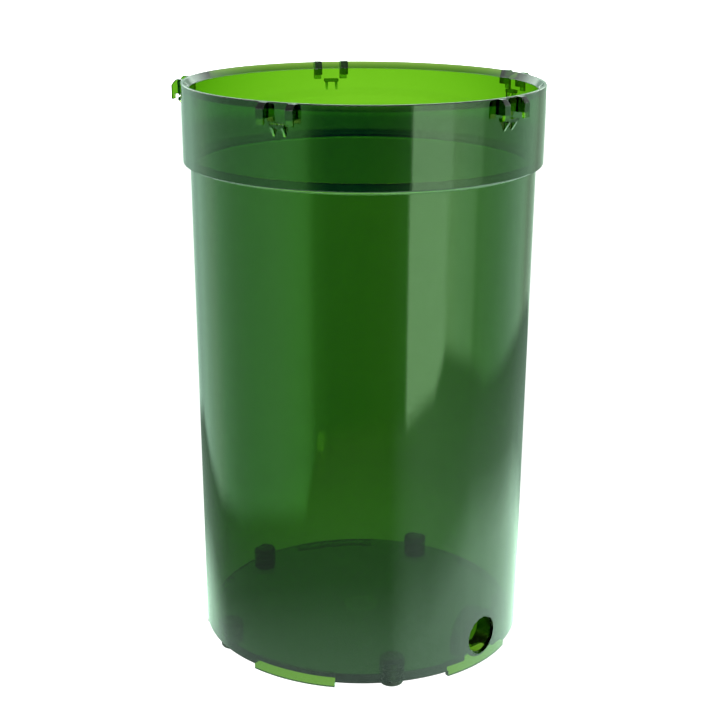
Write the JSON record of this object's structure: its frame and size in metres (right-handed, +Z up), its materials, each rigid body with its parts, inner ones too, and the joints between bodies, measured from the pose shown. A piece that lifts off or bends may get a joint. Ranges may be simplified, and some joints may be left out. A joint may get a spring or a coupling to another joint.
{
  "type": "canister filter vessel",
  "caption": "Open transparent green canister vessel of an aquarium filter: tapered round wall, stepped collar with clip hooks, side inlet bore, rubber feet.",
  "frame": {"origin": "the point on the vessel's axis that is level with the bottoms of the rubber feet", "axes": "+Z up along the vessel's axis, out of its open mouth; -Y out of the inlet bore; +X to the right when looking at the inlet"},
  "size_m": [0.1864, 0.185, 0.2904],
  "materials": {
    "clear_green_plastic": "polished transparent green injection-moulded SAN",
    "dark_rubber": "matt moulded rubber"
  },
  "bodies": {
    "root": {"canister_vessel": "clear_green_plastic", "rubber_foot_1": "dark_rubber", "rubber_foot_2": "dark_rubber", "rubber_foot_3": "dark_rubber", "rubber_foot_4": "dark_rubber", "rubber_foot_5": "dark_rubber"}
  },
  "joints": []
}
